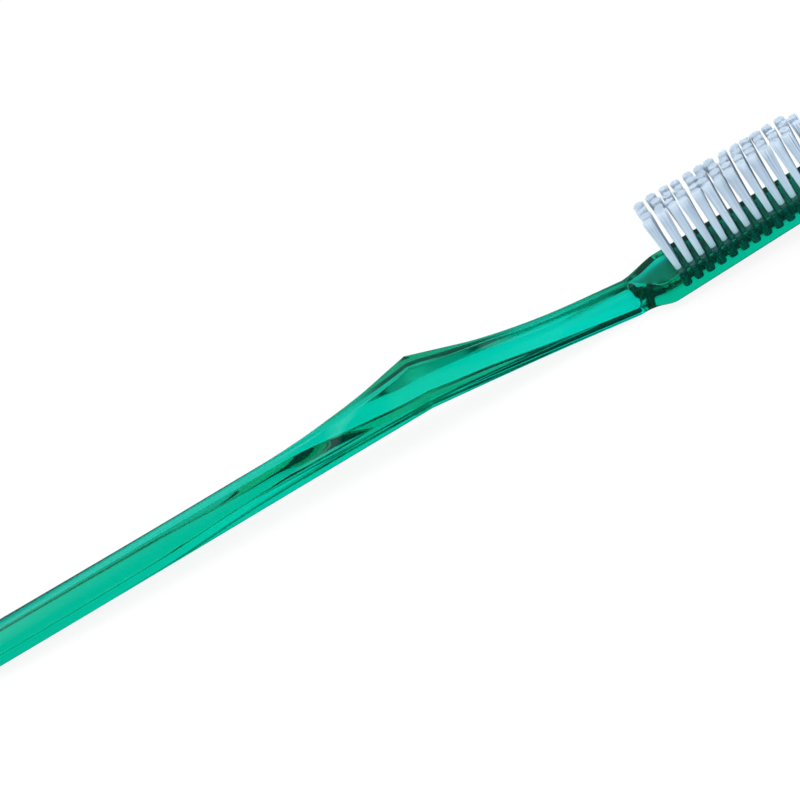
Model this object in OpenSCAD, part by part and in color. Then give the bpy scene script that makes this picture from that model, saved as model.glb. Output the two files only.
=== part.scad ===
// Manual toothbrush: one moulded clear handle with a raised thumb crest, a drooping neck and a
// bored head, which holds four rows of bristle tufts, each pinned in its bore by a flat anchor.
// The brush lies on its back, along X, with the head at +X and the bristles up.

/* [Grip] */
// Length from the butt of the handle to the thumb crest
grip_length = 111; // [100:0.2:130]
// Width of the grip at its widest line
grip_width = 12.2; // [9:0.1:13]
// Width of the flat back of the grip
grip_back_width = 8.4; // [7:0.1:8.8]
// Thickness of the grip
grip_thickness = 5.2; // [4.4:0.1:6]
// Height of the widest line above the back
grip_side_height = 2.8; // [2.2:0.1:3.2]
// Length of the rounded butt
butt_round = 5; // [3:0.5:7]

/* [Thumb rest] */
// Length of the ramp that climbs to the crest
ramp_length = 51; // [40:1:60]
// Height of the crest above the back
crest_height = 8.1; // [7:0.1:9.5]
// Width of the flat top of the crest
crest_width = 5.2; // [4:0.1:6]
// Width of the handle below the crest, at its widest line
crest_base_width = 9.2; // [8:0.1:10]
// Width of the flat back below the crest
crest_back_width = 7.8; // [6.5:0.1:8]

/* [Neck] */
// Length from the crest to the shoulder of the head
neck_length = 37.5; // [32:0.5:42]
// Width of the neck where it meets the shoulder
neck_width = 5.4; // [4.6:0.1:6.2]
// Thickness of the neck where it meets the shoulder
neck_thickness = 6; // [5.4:0.1:6.6]
// How far the back of the neck drops below the back of the grip
neck_drop = 5.8; // [4.6:0.1:6.6]

/* [Head] */
// Length of the shoulder, from the neck to the full width of the head
shoulder_length = 6.8; // [6:0.1:9]
// Length of the head from the shoulder to the tip
head_length = 34.8; // [34:0.1:38.5]
// Width of the head at the shoulder
head_width = 12.4; // [12:0.1:14]
// Width of the head just before the rounded tip
head_tip_width = 10.8; // [10.4:0.1:12]
// Thickness of the head
head_thickness = 4.9; // [4.5:0.1:5.4]
// Length of the rounded tip
tip_round = 5; // [4:0.1:6]
// Angle by which the head tilts towards the bristles, in degrees
head_tilt = 1; // [0:0.1:3]

/* [Tufts] */
// Full columns of tufts, four tufts in each
tuft_columns = 13; // [8:1:13]
// Distance between columns
column_pitch = 2.24; // [2.1:0.01:2.28]
// Distance between rows at the shoulder end
row_pitch = 2.45; // [2.3:0.01:2.9]
// Distance from the shoulder to the first column
first_column = 2.7; // [2.2:0.1:3]
// Height of the bristles above the face of the head
bristle_height = 10.6; // [8:0.1:12]
// Diameter of each bore
bore_diameter = 1.6; // [1.4:0.05:1.7]
// Depth of each bore
bore_depth = 3.3; // [3:0.1:3.6]
// Depth of the folded root below the face of the head
root_recess = 0.3; // [0.1:0.1:0.6]
// Gap between a root and its bore
root_clearance = 0.03; // [0.01:0.01:0.1]

/* [Bristles] */
// Strands in the inner ring of a tuft
inner_strands = 3; // [2:1:3]
// Strands in the outer ring of a tuft
outer_strands = 6; // [5:1:6]
// Width of one strand
strand_width = 0.27; // [0.2:0.01:0.3]
// Distance of the inner strands from the middle of the tuft
inner_ring = 0.24; // [0.2:0.01:0.26]
// Distance of the outer strands from the middle of the tuft
outer_ring = 0.58; // [0.54:0.01:0.6]
// Diameter of a tuft at its tips
tip_spread = 1.9; // [1.5:0.05:2]
// Largest difference in height between strands
tip_unevenness = 0.7; // [0:0.1:0.8]

/* [Anchors] */
// Length of the flat wire that pins a tuft
anchor_length = 2.1; // [1.9:0.05:2.2]
// Height of the flat wire
anchor_height = 1.3; // [1:0.1:1.6]
// Thickness of the flat wire
anchor_thickness = 0.3; // [0.2:0.02:0.36]
// Thickness of the fold of bristles under the wire
fold_thickness = 0.35; // [0.2:0.05:0.5]
// Gap between the wire and its slot
anchor_clearance = 0.01; // [0.005:0.005:0.03]
// Angle of the wire across the head, in degrees
anchor_turn = 62; // [50:1:75]

/* [Hidden] */
row_count = 4;
strand_sides = 3;
overrun = 1;
strand_embed = 0.2;
seed = 31;
smooth_steps = 4;
end_steps = 6;
end_cut_share = 0.4;
ring_size = 8;
bore_sides = 48;
root_sides = 12;
tip_rows = [1, 2];
clear_green = [0.02, 0.72, 0.55];
bristle_white = [0.82, 0.88, 0.91];
anchor_gold = [0.78, 0.68, 0.42];

grip_half = grip_width / 2;
crest_half = crest_width / 2;
neck_half = neck_width / 2;
head_half = head_width / 2;
tip_half = head_tip_width / 2;

crest_x = grip_length;
ramp_x = crest_x - ramp_length;
neck_x = crest_x + neck_length;
heel_x = neck_x + shoulder_length;
tip_x = heel_x + head_length;
taper_x = tip_x - tip_round;

heel_back = -neck_drop;
heel_face = heel_back + head_thickness;
neck_front = heel_back + neck_thickness;

// Shape of the ramp: place along it, then the flat top as a share of the crest's, the
// crease as a share of the half width and of the rise, and the height of the widest line
ramp_shares = [
    [0, 0.115, 0.82, 0.24, 0.96],
    [0.31, 0.115, 0.95, 0.13, 1.07],
    [0.44, 0.115, 0.825, 0.3, 1.05],
    [0.66, 0.44, 0.604, 0.585, 0.93],
    [0.82, 0.67, 0.66, 0.64, 0.82],
    [0.93, 0.96, 0.75, 0.6, 0.73],
    [1, 1, 0.8, 0.53, 0.7]];

// The same for the neck, from the crest to the shoulder
neck_shares = [
    [0, 1, 0.8, 0.53, 0.7],
    [0.15, 0.73, 0.79, 0.55, 0.7],
    [0.32, 0.37, 0.7, 0.64, 0.68],
    [0.61, 0.35, 0.76, 0.76, 0.6],
    [1, 0.4, 0.86, 0.82, 0.5]];

grip_crease_share = 0.754;
grip_crease_rise_share = 0.39;
waist_width_share = 0.918;
ramp_power = 3.8;
ramp_width_power = 3;
droop_power = 1.46;
slim_power = 1.6;
head_front_share = 0.95;
head_crease_share = 0.99;
head_crease_rise_share = 0.88;
head_side_share = 0.18;
head_back_share = 0.5;
neck_back_share = 0.76;
butt_height_share = 0.7;
tip_height_share = 0.75;

function mix(a, b, t) = a + (b - a) * t;
function smooth(t) = t * t * (3 - 2 * t);

// One cross-section: x, then half width and height of the front edge, the crease, the widest
// line and the back edge
function station(x, back_z, front_z, side_half, side_rise, back_half, front_half, crease, rise) =
    [x, front_half, front_z,
     side_half * crease, mix(back_z + side_rise, front_z, rise),
     side_half, back_z + side_rise,
     back_half, back_z];

function ramp_station(row) =
    let (t = row[0])
    station(mix(ramp_x, crest_x, t), 0,
            mix(grip_thickness, crest_height, pow(t, ramp_power)),
            mix(grip_half * waist_width_share, crest_base_width / 2,
                1 - pow(1 - t, ramp_width_power)),
            grip_side_height * row[4],
            mix(grip_back_width, crest_back_width, t) / 2,
            crest_half * row[1], row[2], row[3]);

function neck_station(row) =
    let (t = row[0], slim = 1 - pow(1 - t, slim_power))
    station(mix(crest_x, neck_x, t), heel_back * t,
            mix(neck_front, crest_height, pow(1 - t, droop_power)),
            mix(crest_base_width / 2, neck_half, slim),
            grip_side_height * row[4],
            mix(crest_back_width / 2, neck_half * neck_back_share, slim),
            crest_half * row[1], row[2], row[3]);

function head_station(x, half) =
    let (lift = (x - heel_x) * tan(head_tilt))
    station(x, heel_back + lift, heel_face + lift, half, head_thickness * head_side_share,
            half * head_back_share, half * head_front_share, head_crease_share,
            head_crease_rise_share);

// Smooth curve through a list of stations, with the slope at each from its neighbours
function secant(a, b) = (b - a) / (b[0] - a[0]);
function slope(s, i) =
    i == 0 ? secant(s[0], s[1])
    : i == len(s) - 1 ? secant(s[i - 1], s[i])
    : (secant(s[i - 1], s[i]) + secant(s[i], s[i + 1])) / 2;
function hermite(a, b, da, db, t) =
    let (w = b[0] - a[0])
    a * (1 - smooth(t)) + b * smooth(t)
    + da * w * t * (1 - t) * (1 - t) - db * w * t * t * (1 - t);
function fair(s, steps) =
    [for (i = [0 : len(s) - 2], k = [0 : steps - 1])
        hermite(s[i], s[i + 1], slope(s, i), slope(s, i + 1), k / steps)];

// A rounded end: the half widths follow an ellipse, and the heights close on pivot_z
function rounded(s, x, width, height, pivot_z) =
    [x, s[1] * width, mix(pivot_z, s[2], height),
     s[3] * width, mix(pivot_z, s[4], height),
     s[5] * width, mix(pivot_z, s[6], height),
     s[7] * width, mix(pivot_z, s[8], height)];

butt = station(butt_round, 0, grip_thickness, grip_half, grip_side_height, grip_back_width / 2,
               crest_half * ramp_shares[0][1], grip_crease_share, grip_crease_rise_share);
ramp = [for (row = ramp_shares) ramp_station(row)];
neck = [for (row = neck_shares) neck_station(row)];
neck_end = neck[len(neck) - 1];
heel = head_station(heel_x, head_half);
taper = head_station(taper_x, tip_half);

end_angles = [for (k = [1 : end_steps]) 90 * (k - end_cut_share) / end_steps];
butt_end = [for (k = [end_steps - 1 : -1 : 0])
    let (a = end_angles[k])
    rounded(butt, butt_round * (1 - sin(a)), cos(a), mix(butt_height_share, 1, cos(a)),
            grip_thickness / 2)];
shoulder = [for (k = [0 : smooth_steps * 2 - 1])
    let (t = k / (smooth_steps * 2))
    concat(mix(neck_x, heel_x, t),
           [for (i = [1 : ring_size]) mix(neck_end[i], heel[i], smooth(t))])];
tip_end = [for (k = [0 : end_steps - 1])
    let (a = end_angles[k], x = taper_x + tip_round * sin(a), s = head_station(x, tip_half))
    rounded(s, x, cos(a), mix(tip_height_share, 1, cos(a)), s[2])];

handle_stations = concat(butt_end, fair(concat([butt], ramp), smooth_steps),
                         fair(neck, smooth_steps), shoulder, [heel, taper], tip_end);

function ring(s) =
    [[s[0], s[1], s[2]], [s[0], s[3], s[4]], [s[0], s[5], s[6]], [s[0], s[7], s[8]],
     [s[0], -s[7], s[8]], [s[0], -s[5], s[6]], [s[0], -s[3], s[4]], [s[0], -s[1], s[2]]];
handle_points = [for (s = handle_stations) each ring(s)];

// How the brush lies: on the lower end of its neck and the back of its butt, its middle at x = 0
rest_tilt = atan2(-heel_back, neck_x - butt_round);
function lying_x(p) = p[0] * cos(rest_tilt) - p[2] * sin(rest_tilt);
lying_xs = [for (p = handle_points) lying_x(p)];
middle_x = (min(lying_xs) + max(lying_xs)) / 2;
rest_lift = -butt_round * sin(rest_tilt);

// Places of the tufts: a row and a column for each, with two more tufts at the tip
full_places = [for (c = [0 : tuft_columns - 1], r = [0 : row_count - 1]) [r, c]];
tip_places = [for (r = tip_rows) [r, tuft_columns]];
places = concat(full_places, tip_places);
function column_x(c) = first_column + c * column_pitch;
function row_y(r, c) =
    (r - (row_count - 1) / 2) * row_pitch
    * mix(1, tip_half / head_half, column_x(c) / (head_length - tip_round));
function two_digits(n) = n < 10 ? str("0", n) : str(n);
function tuft_name(i) = str("tuft_", places[i][0] + 1, "_", two_digits(places[i][1] + 1));
tuft_names = [for (i = [0 : len(places) - 1]) tuft_name(i)];

module lying() {
    translate([-middle_x, 0, rest_lift]) rotate([0, -rest_tilt, 0]) children();
}

// The face of the head, with z = 0 on the face
module on_head(i) {
    lying()
        translate([heel_x, 0, heel_face])
            rotate([0, -head_tilt, 0])
                translate([column_x(places[i][1]), row_y(places[i][0], places[i][1]), 0])
                    children();
}

// A solid through a row of rings of points, each ring clockwise as seen from its far end
module swept(points, size) {
    rings = len(points) / size;
    faces = concat(
        [[for (k = [size - 1 : -1 : 0]) k]],
        [for (i = [0 : rings - 2], k = [0 : size - 1], half = [0, 1])
            let (a = i * size + k, b = i * size + (k + 1) % size)
            half == 0 ? [a, b, b + size] : [a, b + size, a + size]],
        [[for (k = [0 : size - 1]) (rings - 1) * size + k]]);
    polyhedron(points, faces);
}

module anchor(clearance) {
    size = [anchor_length + 2 * clearance, anchor_thickness + 2 * clearance,
            anchor_height + 2 * clearance];
    lift = fold_thickness - bore_depth + anchor_height / 2;
    rotate([0, 0, anchor_turn]) translate([0, 0, lift]) cube(size, center = true);
}

module bore() {
    translate([0, 0, -bore_depth])
        cylinder(h = bore_depth + overrun, d = bore_diameter, $fn = bore_sides);
    anchor(anchor_clearance);
}

module handle() {
    color(clear_green)
        difference() {
            lying() swept(handle_points, ring_size);
            for (i = [0 : len(places) - 1]) on_head(i) bore();
        }
}

// One strand, from inside the root to its trimmed tip
module strand(angle, foot, tip, top) {
    spread = tip / foot;
    foot_z = -root_recess - strand_embed;
    corner = strand_width / 2;
    turns = [for (k = [0 : strand_sides - 1]) angle - 360 * k / strand_sides];
    points = concat(
        [for (a = turns) [foot * cos(angle) + corner * cos(a),
                          foot * sin(angle) + corner * sin(a), foot_z]],
        [for (a = turns) [foot * spread * cos(angle) + corner * cos(a),
                          foot * spread * sin(angle) + corner * sin(a), top]]);
    swept(points, strand_sides);
}

module tuft(i) {
    heights = rands(-tip_unevenness, 0, inner_strands + outer_strands, seed + i);
    spread = (tip_spread - strand_width) / 2 / outer_ring;
    root_height = bore_depth - root_recess;
    root_radius = bore_diameter / 2 - root_clearance;
    color(bristle_white)
        on_head(i) {
            difference() {
                union() {
                    translate([0, 0, -bore_depth])
                        cylinder(h = root_height, r = root_radius, $fn = root_sides);
                    for (k = [0 : inner_strands - 1])
                        strand(360 * k / inner_strands, inner_ring, inner_ring * spread,
                               bristle_height + heights[k]);
                    for (k = [0 : outer_strands - 1])
                        strand(360 * k / outer_strands, outer_ring, outer_ring * spread,
                               bristle_height + heights[inner_strands + k]);
                }
                anchor(anchor_clearance);
            }
        }
}

module anchors() {
    color(anchor_gold)
        for (i = [0 : len(places) - 1]) on_head(i) anchor(0);
}

handle();
anchors();
for (i = [0 : len(places) - 1])
    tuft(i);
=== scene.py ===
# A manual toothbrush in clear green plastic. It lies on its back along X, with the bristles up.
import bpy
import math
import random
from mathutils import Matrix, Vector


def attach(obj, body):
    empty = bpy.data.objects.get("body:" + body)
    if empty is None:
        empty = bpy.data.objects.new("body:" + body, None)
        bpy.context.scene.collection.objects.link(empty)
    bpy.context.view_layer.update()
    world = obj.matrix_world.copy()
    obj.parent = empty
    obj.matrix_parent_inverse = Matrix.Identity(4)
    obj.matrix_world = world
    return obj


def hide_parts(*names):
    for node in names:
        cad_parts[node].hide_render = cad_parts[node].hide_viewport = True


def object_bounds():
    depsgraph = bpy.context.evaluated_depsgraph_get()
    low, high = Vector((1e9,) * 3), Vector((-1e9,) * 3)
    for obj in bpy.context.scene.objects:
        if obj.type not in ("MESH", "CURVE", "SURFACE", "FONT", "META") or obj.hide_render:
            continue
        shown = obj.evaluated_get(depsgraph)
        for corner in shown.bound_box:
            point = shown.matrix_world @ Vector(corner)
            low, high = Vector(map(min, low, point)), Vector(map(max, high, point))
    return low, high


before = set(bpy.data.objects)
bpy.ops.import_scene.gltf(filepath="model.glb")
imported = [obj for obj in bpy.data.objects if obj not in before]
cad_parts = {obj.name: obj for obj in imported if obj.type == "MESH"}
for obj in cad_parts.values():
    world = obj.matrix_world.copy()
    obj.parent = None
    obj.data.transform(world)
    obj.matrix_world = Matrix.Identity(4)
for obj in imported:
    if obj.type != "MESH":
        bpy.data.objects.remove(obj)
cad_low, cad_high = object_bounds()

MM = 0.001
FULL_TURN = 2 * math.pi

# The handle's named sizes, in millimetres, as the solids have them.
GRIP_LENGTH = 111
GRIP_WIDTH = 12.2
GRIP_BACK_WIDTH = 8.4
GRIP_THICKNESS = 5.2
GRIP_SIDE_HEIGHT = 2.8
BUTT_ROUND = 5
RAMP_LENGTH = 51
CREST_HEIGHT = 8.1
CREST_WIDTH = 5.2
CREST_BASE_WIDTH = 9.2
CREST_BACK_WIDTH = 7.8
NECK_LENGTH = 37.5
NECK_WIDTH = 5.4
NECK_THICKNESS = 6
NECK_DROP = 5.8
SHOULDER_LENGTH = 6.8
HEAD_LENGTH = 34.8
HEAD_WIDTH = 12.4
HEAD_TIP_WIDTH = 10.8
HEAD_THICKNESS = 4.9
TIP_ROUND = 5
HEAD_TILT = math.radians(1)

# Each row: place along the ramp or neck, width of the flat top, width and height of the
# crease, and height of the widest line, all as shares.
RAMP_SHARES = [
    [0, 0.115, 0.82, 0.24, 0.96],
    [0.31, 0.115, 0.95, 0.13, 1.07],
    [0.44, 0.115, 0.825, 0.3, 1.05],
    [0.66, 0.44, 0.604, 0.585, 0.93],
    [0.82, 0.67, 0.66, 0.64, 0.82],
    [0.93, 0.96, 0.75, 0.6, 0.73],
    [1, 1, 0.8, 0.53, 0.7]]
NECK_SHARES = [
    [0, 1, 0.8, 0.53, 0.7],
    [0.15, 0.73, 0.79, 0.55, 0.7],
    [0.32, 0.37, 0.7, 0.64, 0.68],
    [0.61, 0.35, 0.76, 0.76, 0.6],
    [1, 0.4, 0.86, 0.82, 0.5]]
GRIP_CREASE, GRIP_CREASE_RISE = 0.754, 0.39
WAIST_WIDTH = 0.918
RAMP_POWER, RAMP_WIDTH_POWER, DROOP_POWER, SLIM_POWER = 3.8, 3, 1.46, 1.6
HEAD_FRONT, HEAD_CREASE, HEAD_CREASE_RISE, HEAD_SIDE, HEAD_BACK = 0.95, 0.99, 0.88, 0.18, 0.5
NECK_BACK = 0.76
BUTT_HEIGHT, TIP_HEIGHT = 0.7, 0.75

CREST_X = GRIP_LENGTH
RAMP_X = CREST_X - RAMP_LENGTH
NECK_X = CREST_X + NECK_LENGTH
HEEL_X = NECK_X + SHOULDER_LENGTH
TIP_X = HEEL_X + HEAD_LENGTH
TAPER_X = TIP_X - TIP_ROUND
HEEL_BACK = -NECK_DROP
HEEL_FACE = HEEL_BACK + HEAD_THICKNESS
NECK_FRONT = HEEL_BACK + NECK_THICKNESS

# How far the long edges are rounded, as places along the handle with a radius each: the front
# edge, the crease, the widest line and the back. The front edge is softly round on the grip and
# sharp at the crest, the crease stays soft, and the back goes from sharp to soft under the head.
EDGE_ROUNDING = [
    [(RAMP_X + 0.3 * RAMP_LENGTH, 4), (RAMP_X + 0.7 * RAMP_LENGTH, 0.35)],
    [(RAMP_X, 2.4), (RAMP_X + 0.4 * RAMP_LENGTH, 3)],
    [(CREST_X, 0.6), (CREST_X + 0.6 * NECK_LENGTH, 0.4)],
    [(NECK_X, 0.5), (HEEL_X, 4)]]
EDGES = 4  # on each half of a cross-section, front to back
ARC_REACH = 0.42  # the most of a side that the arc at its end takes up
ARC_STEPS = 4
SMOOTH_STEPS = 10
END_STEPS = 12
END_CUT = 5.6 / 6  # share of a quarter turn where the rounded ends stop, as in the solids
HANDLE_CURVE = math.radians(26)  # edges sharper than this stay sharp

# Bores, in rows across the head and columns along it. Sizes are in millimetres.
COLUMNS = 13  # full ones, before the last pair at the tip
ROWS = 4
COLUMN_PITCH = 2.24
ROW_PITCH = 2.45
FIRST_COLUMN = 2.7
BORE_RADIUS = 0.8
BORE_DEPTH = 3.3
BORE_SIDES = 24
# Radius and height of a bore, from its floor up: a wide root, three ribs and the mouth
BORE_PROFILE = [
    (0.35, -3.3), (0.66, -3.2), (0.78, -2.9), (0.8, -2.45), (0.72, -1.95), (0.56, -1.7),
    (0.62, -1.5), (0.55, -1.3), (0.62, -1.05), (0.55, -0.8), (0.62, -0.5), (0.6, 0), (0.6, 0.5)]
# How far from the bore's own floor, wall and mouth a face still counts as inside or outside
BORE_FLOOR_SLACK, BORE_WALL_SLACK, BORE_MOUTH_SLACK = 0.05, 0.02, 0.02

# Tufts, in millimetres from the head's face. A filament is folded in its bore, so it has two
# ends. Strays, leans and trims are small spreads that each tuft and filament draws for itself.
BRISTLE_HEIGHT = 10.6
FILAMENTS = 25
FILAMENT_RADIUS = 0.095
FILAMENT_SIDES = 5
ROOT_RADIUS, WAIST_RADIUS, BASE_RADIUS = 0.62, 0.44, 0.5
FOLD_Z = -BORE_DEPTH + 0.12
ROOT_Z, WAIST_Z, BASE_Z = FOLD_Z + 0.75, -1.3, 0.1
FOLD_ANGLE = math.radians(152)
BEND_STEPS = (0.3, 0.65, 1)
STRAIGHTNESS = 0.75
TUFT_SEED, SEEDS_A_ROW = 7, 100
SPREAD = (1.65, 1.95)
LEAN_ALONG, LEAN_ACROSS = 0.2, 0.15
FIRST_COLUMN_LEAN = 0.35
SLANT = 0.2
SHORTEST_TRIM = 0.3
STRAY, WILD_SHARE, WILD_STRAY = 0.03, 0.04, 0.2
TIP_JITTER = 0.03
TIP_WEAR = 0.08
TOP_CLEARANCE = 0.15
THREAD_CURVE = math.radians(80)


# The handle's cross-sections


def mix(a, b, t):
    return a + (b - a) * t


def smooth(t):
    return t * t * (3 - 2 * t)


def station(x, back_z, front_z, side_half, side_rise, back_half, front_half, crease, rise):
    """x, then half width and height of the front edge, the crease, the widest line and the back."""
    side_z = back_z + side_rise
    return [x, front_half, front_z, side_half * crease, mix(side_z, front_z, rise),
            side_half, side_z, back_half, back_z]


def ramp_station(row):
    t = row[0]
    return station(
        mix(RAMP_X, CREST_X, t), 0, mix(GRIP_THICKNESS, CREST_HEIGHT, t ** RAMP_POWER),
        mix(GRIP_WIDTH / 2 * WAIST_WIDTH, CREST_BASE_WIDTH / 2, 1 - (1 - t) ** RAMP_WIDTH_POWER),
        GRIP_SIDE_HEIGHT * row[4], mix(GRIP_BACK_WIDTH, CREST_BACK_WIDTH, t) / 2,
        CREST_WIDTH / 2 * row[1], row[2], row[3])


def neck_station(row):
    t = row[0]
    slim = 1 - (1 - t) ** SLIM_POWER
    return station(
        mix(CREST_X, NECK_X, t), HEEL_BACK * t,
        mix(NECK_FRONT, CREST_HEIGHT, (1 - t) ** DROOP_POWER),
        mix(CREST_BASE_WIDTH, NECK_WIDTH, slim) / 2, GRIP_SIDE_HEIGHT * row[4],
        mix(CREST_BACK_WIDTH, NECK_WIDTH * NECK_BACK, slim) / 2,
        CREST_WIDTH / 2 * row[1], row[2], row[3])


def head_station(x, half):
    lift = (x - HEEL_X) * math.tan(HEAD_TILT)
    return station(x, HEEL_BACK + lift, HEEL_FACE + lift, half, HEAD_THICKNESS * HEAD_SIDE,
                   half * HEAD_BACK, half * HEAD_FRONT, HEAD_CREASE, HEAD_CREASE_RISE)


def fair(stations, steps):
    """A smooth curve through the stations, with each one's slope from its neighbours."""
    count = len(stations)

    def secant(i):
        a, b = stations[i], stations[i + 1]
        return [(q - p) / (b[0] - a[0]) for p, q in zip(a, b)]

    def slope(i):
        if i == 0:
            return secant(0)
        if i == count - 1:
            return secant(count - 2)
        return [(p + q) / 2 for p, q in zip(secant(i - 1), secant(i))]

    made = []
    for i in range(count - 1):
        a, b, da, db = stations[i], stations[i + 1], slope(i), slope(i + 1)
        w = b[0] - a[0]
        for k in range(steps):
            t = k / steps
            made.append([p * (1 - smooth(t)) + q * smooth(t) + dp * w * t * (1 - t) ** 2
                         - dq * w * t * t * (1 - t) for p, q, dp, dq in zip(a, b, da, db)])
    return made


def rounded_end(s, x, width, height, pivot_z):
    made = [x]
    for k in range(EDGES):
        made += [s[1 + 2 * k] * width, mix(pivot_z, s[2 + 2 * k], height)]
    return made


def handle_stations(steps, end_steps):
    butt = station(BUTT_ROUND, 0, GRIP_THICKNESS, GRIP_WIDTH / 2, GRIP_SIDE_HEIGHT,
                   GRIP_BACK_WIDTH / 2, CREST_WIDTH / 2 * RAMP_SHARES[0][1],
                   GRIP_CREASE, GRIP_CREASE_RISE)
    ramp = [ramp_station(row) for row in RAMP_SHARES]
    neck = [neck_station(row) for row in NECK_SHARES]
    heel = head_station(HEEL_X, HEAD_WIDTH / 2)
    taper = head_station(TAPER_X, HEAD_TIP_WIDTH / 2)
    angles = [math.pi / 2 * END_CUT * (k + 1) / end_steps for k in range(end_steps)]
    made = [rounded_end(butt, BUTT_ROUND * (1 - math.sin(a)), math.cos(a),
                        mix(BUTT_HEIGHT, 1, math.cos(a)), GRIP_THICKNESS / 2)
            for a in reversed(angles)]
    made += fair([butt] + ramp, steps) + fair(neck, steps)
    for k in range(steps * 2):
        t = k / (steps * 2)
        made.append([mix(NECK_X, HEEL_X, t)]
                    + [mix(p, q, smooth(t)) for p, q in zip(neck[-1][1:], heel[1:])])
    made += [heel, taper]
    for a in angles:
        x = TAPER_X + TIP_ROUND * math.sin(a)
        s = head_station(x, HEAD_TIP_WIDTH / 2)
        made.append(rounded_end(s, x, math.cos(a), mix(TIP_HEIGHT, 1, math.cos(a)), s[2]))
    return made


STATIONS = handle_stations(SMOOTH_STEPS, END_STEPS)
REST_TILT = math.atan2(-HEEL_BACK, NECK_X - BUTT_ROUND)
REST_LIFT = -BUTT_ROUND * math.sin(REST_TILT)
TILTED_X = [s[0] * math.cos(REST_TILT) - s[2 + 2 * k] * math.sin(REST_TILT)
            for s in STATIONS for k in range(EDGES)]
MIDDLE_X = (min(TILTED_X) + max(TILTED_X)) / 2
# From the handle's own millimetres to the frame's metres
LYING = (Matrix.Scale(MM, 4) @ Matrix.Translation((-MIDDLE_X, 0, REST_LIFT))
         @ Matrix.Rotation(-REST_TILT, 4, "Y"))
ON_FACE = LYING @ Matrix.Translation((HEEL_X, 0, HEEL_FACE)) @ Matrix.Rotation(-HEAD_TILT, 4, "Y")


def column_x(c):
    return FIRST_COLUMN + c * COLUMN_PITCH


def row_y(r, c):
    narrowing = mix(1, HEAD_TIP_WIDTH / HEAD_WIDTH, column_x(c) / (HEAD_LENGTH - TIP_ROUND))
    return (r - (ROWS - 1) / 2) * ROW_PITCH * narrowing


PLACES = [(r, c) for c in range(COLUMNS) for r in range(ROWS)] + [(1, COLUMNS), (2, COLUMNS)]


# Making pieces


def new_piece(name, verts, faces, place):
    mesh = bpy.data.meshes.new(name)
    mesh.from_pydata([tuple(v) for v in verts], [], faces)
    mesh.transform(place)
    piece = bpy.data.objects.new(name, mesh)
    bpy.context.scene.collection.objects.link(piece)
    return piece


def only(piece):
    bpy.ops.object.select_all(action="DESELECT")
    piece.select_set(True)
    bpy.context.view_layer.objects.active = piece


def apply_modifiers(piece):
    only(piece)
    for m in list(piece.modifiers):
        bpy.ops.object.modifier_apply(modifier=m.name)


def mark(piece, name, domain, values):
    """An attribute of the mesh that its finish reads."""
    piece.data.attributes.new(name, "FLOAT", domain).data.foreach_set("value", values)


def arc(before, corner, after, radius):
    """A corner of a section, rounded by a small arc that meets both its sides."""
    to_before, to_after = before - corner, after - corner
    a = corner + to_before.normalized() * min(radius, ARC_REACH * to_before.length)
    b = corner + to_after.normalized() * min(radius, ARC_REACH * to_after.length)
    made = []
    for k in range(ARC_STEPS + 1):
        t = k / ARC_STEPS
        made.append(a * (1 - t) ** 2 + corner * 2 * t * (1 - t) + b * t * t)
    return made


def rounding(knots, x):
    radius = knots[0][1]
    for (x0, start), (x1, end) in zip(knots, knots[1:]):
        if x > x0:
            radius = mix(start, end, smooth(min(1, (x - x0) / (x1 - x0))))
    return radius


def section(s):
    """The rounded outline of one cross-section, round from the front."""
    half = [Vector((0, s[1 + 2 * k], s[2 + 2 * k])) for k in range(EDGES)]
    corners = half + [Vector((0, -p.y, p.z)) for p in reversed(half)]
    radii = [rounding(knots, s[0]) for knots in EDGE_ROUNDING]
    radii += radii[::-1]
    made = []
    for i, corner in enumerate(corners):
        made += arc(corners[i - 1], corner, corners[(i + 1) % len(corners)], radii[i])
    return [Vector((s[0], p.y, p.z)) for p in made]


def bridge(rings):
    """Faces between rings of as many points each, with an end face on the first and last."""
    n = len(rings[0])
    faces = [list(range(n))[::-1]]
    for i in range(len(rings) - 1):
        for k in range(n):
            a, b = i * n + k, i * n + (k + 1) % n
            faces.append([a, b, b + n, a + n])
    last = (len(rings) - 1) * n
    faces.append([last + k for k in range(n)])
    return [p for ring in rings for p in ring], faces


def joined(parts):
    """The points and faces of many bridged parts as one list each."""
    verts, faces = [], []
    for points, sides in parts:
        faces += [[len(verts) + k for k in face] for face in sides]
        verts += points
    return verts, faces


def bore(r, c):
    return bridge([[(column_x(c) + radius * math.cos(FULL_TURN * k / BORE_SIDES),
                     row_y(r, c) + radius * math.sin(FULL_TURN * k / BORE_SIDES), z)
                    for k in range(BORE_SIDES)] for radius, z in BORE_PROFILE])


def mark_bores(handle):
    """An attribute that is 1 on the bore walls, where the finish paints the shade on the nylon
    pressed into them.
    """
    to_face = ON_FACE.inverted()
    inside = []
    for polygon in handle.data.polygons:
        p = to_face @ polygon.center
        deep = -BORE_DEPTH - BORE_FLOOR_SLACK < p.z < -BORE_MOUTH_SLACK
        near = deep and min(math.hypot(p.x - column_x(c), p.y - row_y(r, c)) for r, c in PLACES)
        inside.append(1.0 if deep and near < BORE_RADIUS + BORE_WALL_SLACK else 0.0)
    mark(handle, "bore", "FACE", inside)


def clear_handle():
    handle = new_piece("clear_handle", *bridge([section(s) for s in STATIONS]), LYING)
    bores = new_piece("bores", *joined([bore(r, c) for r, c in PLACES]), ON_FACE)
    cut = handle.modifiers.new("bores", "BOOLEAN")
    cut.operation = "DIFFERENCE"
    cut.solver = "EXACT"
    cut.object = bores
    apply_modifiers(handle)
    bpy.data.objects.remove(bores)
    mark_bores(handle)
    only(handle)
    bpy.ops.object.shade_smooth_by_angle(angle=HANDLE_CURVE)
    weigh = handle.modifiers.new("facets", "WEIGHTED_NORMAL")
    weigh.keep_sharp = True
    apply_modifiers(handle)
    return handle


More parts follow.
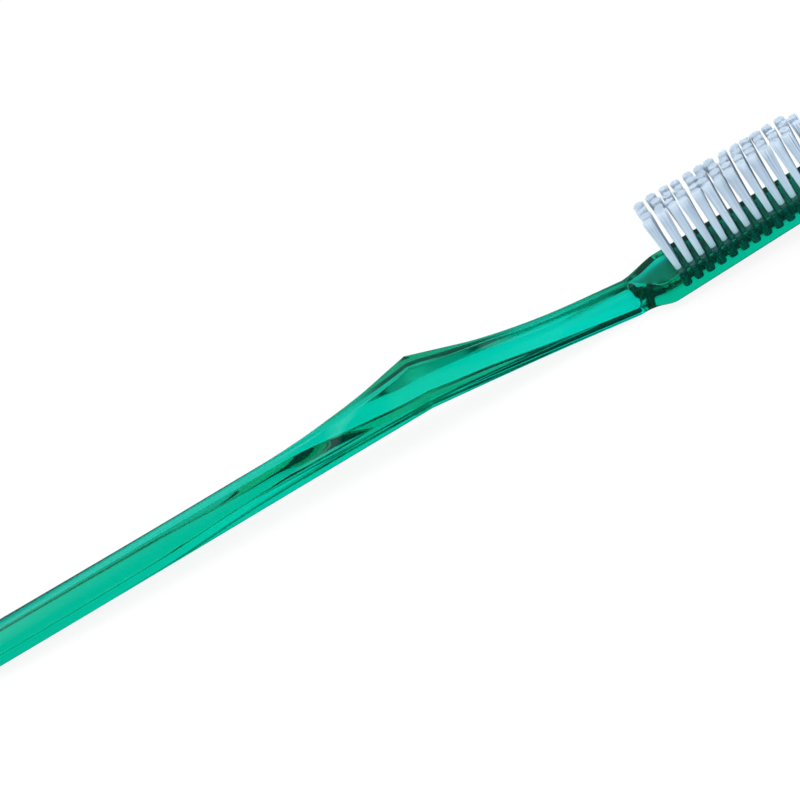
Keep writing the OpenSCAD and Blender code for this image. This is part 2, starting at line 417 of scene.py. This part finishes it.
def disc_points(count, radius, dice):
    """Places spread evenly over a disc, as filaments pack in a bore."""
    golden = math.pi * (3 - math.sqrt(5))
    turn = dice.uniform(0, FULL_TURN)
    return [Vector((radius * math.sqrt((k + 0.5) / count) * math.cos(turn + k * golden),
                    radius * math.sqrt((k + 0.5) / count) * math.sin(turn + k * golden)))
            for k in range(count)]


def tube(path, radius, sides):
    """Rings of a thin round thread along a path."""
    rings = []
    for i, p in enumerate(path):
        along = (path[min(i + 1, len(path) - 1)] - path[max(i - 1, 0)]).normalized()
        if i == 0:
            side = along.orthogonal().normalized()
        else:
            side = (side - along * side.dot(along)).normalized()
        across = along.cross(side)
        rings.append([p + side * radius * math.cos(FULL_TURN * k / sides)
                      + across * radius * math.sin(FULL_TURN * k / sides) for k in range(sides)])
    return rings


def bristle_tuft(r, c):
    dice = random.Random(SEEDS_A_ROW * r + c + TUFT_SEED)
    ends = sorted(disc_points(2 * FILAMENTS, 1, dice), key=lambda p: p.x)
    spread = dice.uniform(*SPREAD)
    lean = Vector((dice.gauss(0, LEAN_ALONG), dice.gauss(0, LEAN_ACROSS)))
    if c == 0:
        lean.x -= FIRST_COLUMN_LEAN
    slant = Vector((dice.uniform(-SLANT, SLANT), dice.uniform(-SLANT, SLANT)))
    trim = dice.uniform(-SHORTEST_TRIM, 0)
    turn = Matrix.Rotation(FOLD_ANGLE, 2)

    def half_filament(p):
        """The way from the root in the bore up to one end of a filament."""
        root, waist, base = [turn @ (p * radius)
                             for radius in (ROOT_RADIUS, WAIST_RADIUS, BASE_RADIUS)]
        stray = 1 + dice.gauss(0, STRAY)
        if dice.random() < WILD_SHARE:
            stray += WILD_STRAY
        jitter = Vector((dice.gauss(0, TIP_JITTER), dice.gauss(0, TIP_JITTER)))
        tip = base * spread * stray + lean + jitter
        top = BRISTLE_HEIGHT + trim + slant.dot(p) - abs(dice.gauss(0, TIP_WEAR))
        top = min(top, BRISTLE_HEIGHT - TOP_CLEARANCE)
        way = [Vector((*root, ROOT_Z)), Vector((*waist, WAIST_Z)), Vector((*base, BASE_Z))]
        for t in BEND_STEPS:
            at = base.lerp(tip, STRAIGHTNESS * t + (1 - STRAIGHTNESS) * t * t)
            way.append(Vector((*at, mix(BASE_Z, top, t))))
        return way

    parts, strand = [], []
    for pair in zip(ends[:FILAMENTS], reversed(ends[FILAMENTS:])):
        first, second = [half_filament(p) for p in pair]
        fold = (first[0] + second[0]) / 2
        fold.z = FOLD_Z
        part = bridge(tube(first[::-1] + [fold] + second, FILAMENT_RADIUS, FILAMENT_SIDES))
        parts.append(part)
        strand += [dice.random()] * len(part[0])
    verts, faces = joined(parts)
    piece = new_piece("bristles_%d_%02d" % (r + 1, c + 1), verts, faces,
                      ON_FACE @ Matrix.Translation((column_x(c), row_y(r, c), 0)))
    mark(piece, "strand", "POINT", strand)
    mark(piece, "reach", "POINT", [p.z / BRISTLE_HEIGHT for p in verts])
    only(piece)
    bpy.ops.object.shade_smooth_by_angle(angle=THREAD_CURVE)
    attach(piece, "root")
    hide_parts("tuft_%d_%02d" % (r + 1, c + 1))
    return piece


# Finishes


class Value:
    """A socket of a material's nodes, with plain arithmetic."""

    def __init__(self, finish, socket):
        self.finish, self.socket = finish, socket

    def math(self, operation, *others):
        values = dict(enumerate([self, *others]))
        return self.finish.add("ShaderNodeMath", {"operation": operation}, values)

    def __add__(self, other):
        return self.math("ADD", other)

    def __mul__(self, other):
        return self.math("MULTIPLY", other)

    def __sub__(self, other):
        return self.math("SUBTRACT", other)

    def __rsub__(self, other):
        return self.finish.add("ShaderNodeMath", {"operation": "SUBTRACT"}, {0: other, 1: self})

    def __pow__(self, other):
        return self.math("POWER", other)

    __radd__ = __add__
    __rmul__ = __mul__


class Finish:
    """One material and the nodes that make it."""

    def __init__(self, name, tree=None):
        if tree is None:
            self.material = bpy.data.materials.new(name)
            self.material.use_nodes = True
            tree = self.material.node_tree
        self.tree = tree
        self.tree.nodes.clear()

    def node(self, kind, settings=None, inputs=None):
        made = self.tree.nodes.new(kind)
        for key, value in (settings or {}).items():
            setattr(made, key, value)
        for key, value in (inputs or {}).items():
            if isinstance(value, Value):
                self.tree.links.new(value.socket, made.inputs[key])
            else:
                made.inputs[key].default_value = value
        return made

    def add(self, kind, settings=None, inputs=None, output=0):
        return Value(self, self.node(kind, settings, inputs).outputs[output])

    def stops(self, factor, *stops):
        made = self.node("ShaderNodeValToRGB", None, {0: factor})
        ramp = made.color_ramp
        while len(ramp.elements) < len(stops):
            ramp.elements.new(0.5)
        for element, (position, colour) in zip(ramp.elements, stops):
            element.position = position
            element.color = (*colour, 1)
        return Value(self, made.outputs["Color"])

    def ease(self, value, start, end):
        """0 at the start and 1 at the end, with a soft change between them."""
        return self.add("ShaderNodeMapRange", {"interpolation_type": "SMOOTHSTEP"}, {
            "Value": value, "From Min": start, "From Max": end})

    def within(self, value, *edges):
        """1 inside soft edges, each one given by where it is 0 and where it is 1."""
        share, *others = [self.ease(value, start, end) for start, end in edges]
        for other in others:
            share = share * other
        return share

    def noise(self, where, scale, detail=2, stretch=None):
        if stretch:
            where = self.add("ShaderNodeMapping", None, {"Vector": where, "Scale": stretch})
        return self.add("ShaderNodeTexNoise", None, {
            "Vector": where, "Scale": scale, "Detail": detail})

    def place(self, kind="Object"):
        return self.add("ShaderNodeTexCoord", output=kind)

    def part(self, vector, axis):
        return self.add("ShaderNodeSeparateXYZ", None, {0: vector}, output="XYZ".index(axis))

    def mark(self, name):
        return self.add("ShaderNodeAttribute", {"attribute_name": name}, output="Fac")

    def ray(self, kind):
        return self.add("ShaderNodeLightPath", output="Is %s Ray" % kind)

    def mirrored(self):
        """1 for a reflection on a surface, and 0 for what is seen through clear plastic."""
        return self.ray("Glossy") * (1 - self.ray("Transmission"))

    def blend(self, share, first, second):
        return self.add("ShaderNodeMix", {"data_type": "RGBA"}, {
            SHARE_IN: share, FIRST_IN: first, SECOND_IN: second}, output=COLOUR_OUT)

    def bump(self, height, strength, distance):
        return self.add("ShaderNodeBump", None, {
            "Strength": strength, "Distance": distance, "Height": height})

    def body(self, inputs):
        return self.add("ShaderNodeBsdfPrincipled", None, inputs)

    def matte(self, colour):
        return self.add("ShaderNodeBsdfDiffuse", None, {"Color": colour})

    def layers(self, share, first, second):
        return self.add("ShaderNodeMixShader", None, {0: share, 1: first, 2: second})

    def surface(self, shader):
        return self.node("ShaderNodeOutputMaterial", None, {"Surface": shader})


# The sockets of a Mix node that blends colours
SHARE_IN, FIRST_IN, SECOND_IN, COLOUR_OUT = 0, 6, 7, 2

CLEAR_TONES = ((0.3, (0.004, 0.75, 0.73)), (0.7, (0.006, 0.79, 0.77)))
CLEAR_MIRROR_TINT = (0.6, 0.9, 0.9, 1)
CLEAR_IOR = 1.56
CLEAR_ROUGHNESS, CLEAR_SMEARS = 0.015, 0.03
FLOW_HEIGHT, RUB_HEIGHT = 0.7, 0.1
CLEAR_HAZE, HAZE_TONE = 0.04, (0.005, 0.5, 0.36, 1)
LET_THROUGH, DENSITY = (0.03, 0.933, 0.867, 1), 600
# Painted shade: the bore walls, with the nylon pressed into them, are painted dark green, banded
# lighter and darker along the depth.
PLUG_SHADE_TONES = ((0.35, (0.004, 0.028, 0.022)), (0.75, (0.012, 0.15, 0.12)))
RIB_FREQUENCY, RIB_WANDER, RIB_SHARE, RIB_HAZE = 15000, 6, 0.25, 0.5
PLUG_ROUGHNESS = 0.45

NYLON_TONES = ((0, (0.49, 0.62, 0.76)), (0.5, (0.53, 0.66, 0.79)), (1, (0.58, 0.71, 0.83)))
# Painted light: the feet of the bristles are painted with the green light that comes through and
# off the plastic under them.
NYLON_FOOT_GREEN_LIGHT = (0.42, 0.68, 0.74, 1)  # tinted by the green under it
# Painted shade: the nylon down in the bores is painted nearly black.
NYLON_BORE_SHADE = (0.05, 0.09, 0.08, 1)
# Painted light: the tops of the tufts are painted lighter than the rest of the nylon.
NYLON_TIP_PAINTED_LIGHT = (0.7, 0.82, 0.93, 1)
NYLON_IOR, NYLON_ROUGHNESS, NYLON_GRAIN = 1.53, 0.32, 0.15
FOOT_FADE = 6
# Shares of the bristles' height, up to which they are in the bore and where the tips begin
BORE_REACH, TIP_REACH = -0.02, (0.8, 0.97)

BRASS_ROUGHNESS, BRASS_GRAIN = 0.22, 0.2
BRASS_TONES = ((0.2, (0.55, 0.46, 0.28)), (0.8, (0.74, 0.64, 0.42)))


def clear_green():
    f = Finish("clear_green_plastic")
    place = f.place()
    haze = f.noise(place, scale=900, detail=4)
    rubs = f.noise(place, scale=4000, detail=3, stretch=(0.08, 1, 1))
    flow = f.noise(place, scale=90, detail=2, stretch=(0.25, 1, 1))
    clear = f.body({
        "Base Color": f.stops(flow, *CLEAR_TONES),
        "Roughness": CLEAR_ROUGHNESS + haze * CLEAR_SMEARS,
        "IOR": CLEAR_IOR, "Transmission Weight": 1.0, "Specular Tint": CLEAR_MIRROR_TINT,
        "Normal": f.bump(flow * FLOW_HEIGHT + rubs * RUB_HEIGHT, strength=0.06, distance=0.00003)})
    cloudy = f.body({"Base Color": HAZE_TONE, "Roughness": 0.5, "Specular IOR Level": 0.0})
    # Painted shade on the bore walls: dark green, banded lighter and darker along the depth.
    waves = (f.part(place, "Z") * RIB_FREQUENCY + flow * RIB_WANDER).math("SINE")
    ribs = (waves + 1) * RIB_SHARE + haze * RIB_HAZE
    shaded_plug = f.body({"Base Color": f.stops(ribs, *PLUG_SHADE_TONES), "Roughness": PLUG_ROUGHNESS})
    plastic = f.layers(CLEAR_HAZE, clear, cloudy)
    out = f.surface(f.layers(f.mark("bore"), plastic, shaded_plug))
    tint = f.add("ShaderNodeVolumeAbsorption", None, {"Color": LET_THROUGH, "Density": DENSITY})
    f.tree.links.new(tint.socket, out.inputs["Volume"])
    return f.material


def nylon():
    f = Finish("nylon_bristle")
    reach = f.mark("reach")
    fine = f.noise(f.place(), scale=3000, detail=2)
    tone = f.stops(f.mark("strand"), *NYLON_TONES)
    # Painted green light at the feet of the bristles.
    tone = f.blend((1 - reach).math("MINIMUM", 1) ** FOOT_FADE, tone, NYLON_FOOT_GREEN_LIGHT)
    # Painted shade on the nylon in the bores.
    tone = f.blend(reach.math("LESS_THAN", BORE_REACH), tone, NYLON_BORE_SHADE)
    # Painted light on the tops of the tufts.
    tone = f.blend(f.ease(reach, *TIP_REACH), tone, NYLON_TIP_PAINTED_LIGHT)
    f.surface(f.body({
        "Base Color": tone, "Roughness": NYLON_ROUGHNESS + fine * NYLON_GRAIN, "IOR": NYLON_IOR,
        "Normal": f.bump(fine, strength=0.2, distance=0.00002)}))
    return f.material


def anchor_wire():
    f = Finish("anchor_metal")
    drawn = f.noise(f.place(), scale=9000, detail=3, stretch=(1, 1, 0.1))
    f.surface(f.body({"Base Color": f.stops(drawn, *BRASS_TONES), "Metallic": 1.0,
                      "Roughness": BRASS_ROUGHNESS + drawn * BRASS_GRAIN}))
    return f.material


# Build

handle = clear_handle()
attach(handle, "root")
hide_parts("handle")
handle.data.materials.append(clear_green())

bristle = nylon()
for r, c in PLACES:
    bristle_tuft(r, c).data.materials.append(bristle)

wire = anchor_wire()
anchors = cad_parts["anchors"]
anchors.data.materials.clear()
anchors.data.materials.append(wire)

# Studio, in metres

FLOOR_SIDE, FLOOR_GAP = 8, 0.00005
PALE, DIM = (0.9, 0.9, 0.9, 1), (0.03, 0.03, 0.03, 1)
FLOOR_WHITE, WHITE_SHARE = (1, 0.995, 0.997, 1), 0.88
# The brush's own shade on the floor, seen through the plastic of the crest and the head. An edge
# is given by where it is 0 and where it is 1.
OWN_SHADE = (0.002, 0.03, 0.02, 1)
CREST_SHADE_X = ((0.004, 0.012), (0.036, 0.024))
CREST_SHADE_Y = ((-0.0002, 0.0012), (0.0075, 0.0055))
HEAD_SHADE_X = ((0.0605, 0.0635),)
HEAD_SHADE_Y = ((-0.002, 0), (0.014, 0.011))
HEAD_SHADE_DEPTH = 0.8

CARD_PLACE, CARD_SIZE = (0.042, 0.042, 0.0055), (0.15, 0.01, 1)
CARD_EDGES = ((-0.03, 0.005), (0.11, 0.08))
CARD_BLACK = (0.004, 0.004, 0.004, 1)

# By height, from the horizon up: what shiny surfaces mirror, and what lights everything else
MIRRORED_SKY = (
    (0.3, (0.2, 0.22, 0.22)), (0.5, (0.02, 0.022, 0.022)), (0.84, (0.02, 0.022, 0.022)),
    (0.88, (0.95, 1, 1)), (0.91, (0.95, 1, 1)), (0.96, (0.02, 0.02, 0.02)))
PALE_SKY = ((0, (1.18, 1.19, 1.2)), (0.6, (1.1, 1.11, 1.12)), (1, (0.8, 0.81, 0.82)))
WHITE = (1, 1, 1, 1)

# Name, place, size and power in watts
LAMPS = (("softbox", (0.0, 0.12, 1.2), (1.5, 0.9), 6),
         ("front_softbox", (0.1, -1.06, 0.56), (2.4, 1.4), 3.5))
LAMP_AIM = (0, 0, 0)

# The photograph's view, in millimetres and pixels
ELEVATION, AZIMUTH, ROLL = math.radians(26), math.radians(3), math.radians(29.98)
PIXELS_PER_MM, PICTURE_SIDE, DISTANCE = 6.01, 800, 1500
CREST_AT = (406.1, 362.1)
SENSOR = 36
CLIP_START, CLIP_END = 0.05, 50


def flat_sheet(name, side, place, rotation=(0, 0, 0), scale=(1, 1, 1)):
    bpy.ops.object.select_all(action="DESELECT")
    bpy.ops.mesh.primitive_plane_add(size=side, location=place, rotation=rotation)
    sheet = bpy.context.active_object
    sheet.name = name
    sheet.scale = scale
    bpy.ops.object.transform_apply(location=True, rotation=True, scale=True)
    return sheet


def pale_floor():
    floor = flat_sheet("floor", FLOOR_SIDE, (0, 0, cad_low.z - FLOOR_GAP))
    f = Finish("pale_floor")
    matte = f.layers(f.mirrored(), f.matte(PALE), f.matte(DIM))
    glow = f.add("ShaderNodeEmission", None, {"Color": FLOOR_WHITE, "Strength": 1.0})
    share = f.layers(f.ray("Camera") * WHITE_SHARE, matte, glow)
    place = f.place()
    along, across = f.part(place, "X"), f.part(place, "Y")
    under_crest = f.within(along, *CREST_SHADE_X) * f.within(across, *CREST_SHADE_Y)
    under_head = f.within(along, *HEAD_SHADE_X) * f.within(across, *HEAD_SHADE_Y)
    shaded = (under_crest + under_head * HEAD_SHADE_DEPTH) * f.ray("Transmission")
    f.surface(f.layers(shaded, share, f.matte(OWN_SHADE)))
    floor.data.materials.append(f.material)


def dark_card():
    """A low black card behind the brush, seen only through it, that draws its dark edge lines."""
    card = flat_sheet("dark_card", 1, CARD_PLACE, (math.pi / 2, 0, 0), CARD_SIZE)
    f = Finish("dark_card")
    gone = f.add("ShaderNodeBsdfTransparent")
    there = f.within(f.part(f.place(), "X"), *CARD_EDGES)
    f.surface(f.layers(there, gone, f.matte(CARD_BLACK)))
    card.data.materials.append(f.material)
    card.visible_camera = card.visible_diffuse = card.visible_glossy = card.visible_shadow = False


def soft_world():
    world = bpy.data.worlds.new("studio")
    bpy.context.scene.world = world
    world.use_nodes = True
    f = Finish("studio", world.node_tree)
    high = f.part(f.place("Generated"), "Z")
    soft = f.blend(f.mirrored(), f.stops(high, *PALE_SKY), f.stops(high, *MIRRORED_SKY))
    colour = f.blend(f.ray("Camera"), soft, WHITE)
    back = f.add("ShaderNodeBackground", None, {"Color": colour, "Strength": 1.0})
    f.node("ShaderNodeOutputWorld", None, {"Surface": back})


def lamp(name, place, size, power):
    """A soft lamp that is neither mirrored in the plastic nor seen through it."""
    data = bpy.data.lights.new(name, "AREA")
    data.shape = "RECTANGLE"
    data.size, data.size_y = size
    data.energy = power
    light = bpy.data.objects.new(name, data)
    light.location = place
    light.rotation_euler = (Vector(LAMP_AIM) - Vector(place)).to_track_quat("-Z", "Y").to_euler()
    light.visible_camera = light.visible_glossy = light.visible_transmission = False
    bpy.context.scene.collection.objects.link(light)


def long_lens():
    """A far camera, turned so that the crest and the handle lie as in the photograph."""
    right = Vector((math.cos(AZIMUTH), math.sin(AZIMUTH), 0))
    up = Vector((-math.sin(AZIMUTH) * math.sin(ELEVATION), math.cos(AZIMUTH) * math.sin(ELEVATION),
                 math.cos(ELEVATION)))
    across = right * math.cos(ROLL) - up * math.sin(ROLL)
    upward = right * math.sin(ROLL) + up * math.cos(ROLL)
    back = across.cross(upward)
    crest = (LYING @ Vector((CREST_X, 0, CREST_HEIGHT))) / MM
    centre = (crest + across * ((PICTURE_SIDE / 2 - CREST_AT[0]) / PIXELS_PER_MM)
              - upward * ((PICTURE_SIDE / 2 - CREST_AT[1]) / PIXELS_PER_MM))
    data = bpy.data.cameras.new("camera")
    data.sensor_width = SENSOR
    data.lens = SENSOR * DISTANCE / (PICTURE_SIDE / PIXELS_PER_MM)
    data.clip_start, data.clip_end = CLIP_START, CLIP_END
    camera = bpy.data.objects.new("camera", data)
    turn = Matrix((across, upward, back)).transposed().to_4x4()
    camera.matrix_world = Matrix.Translation((centre + back * DISTANCE) * MM) @ turn
    bpy.context.scene.collection.objects.link(camera)
    bpy.context.scene.camera = camera


pale_floor()
dark_card()
soft_world()
for name, place, size, power in LAMPS:
    lamp(name, place, size, power)
long_lens()
bpy.context.scene.view_settings.view_transform = "Standard"
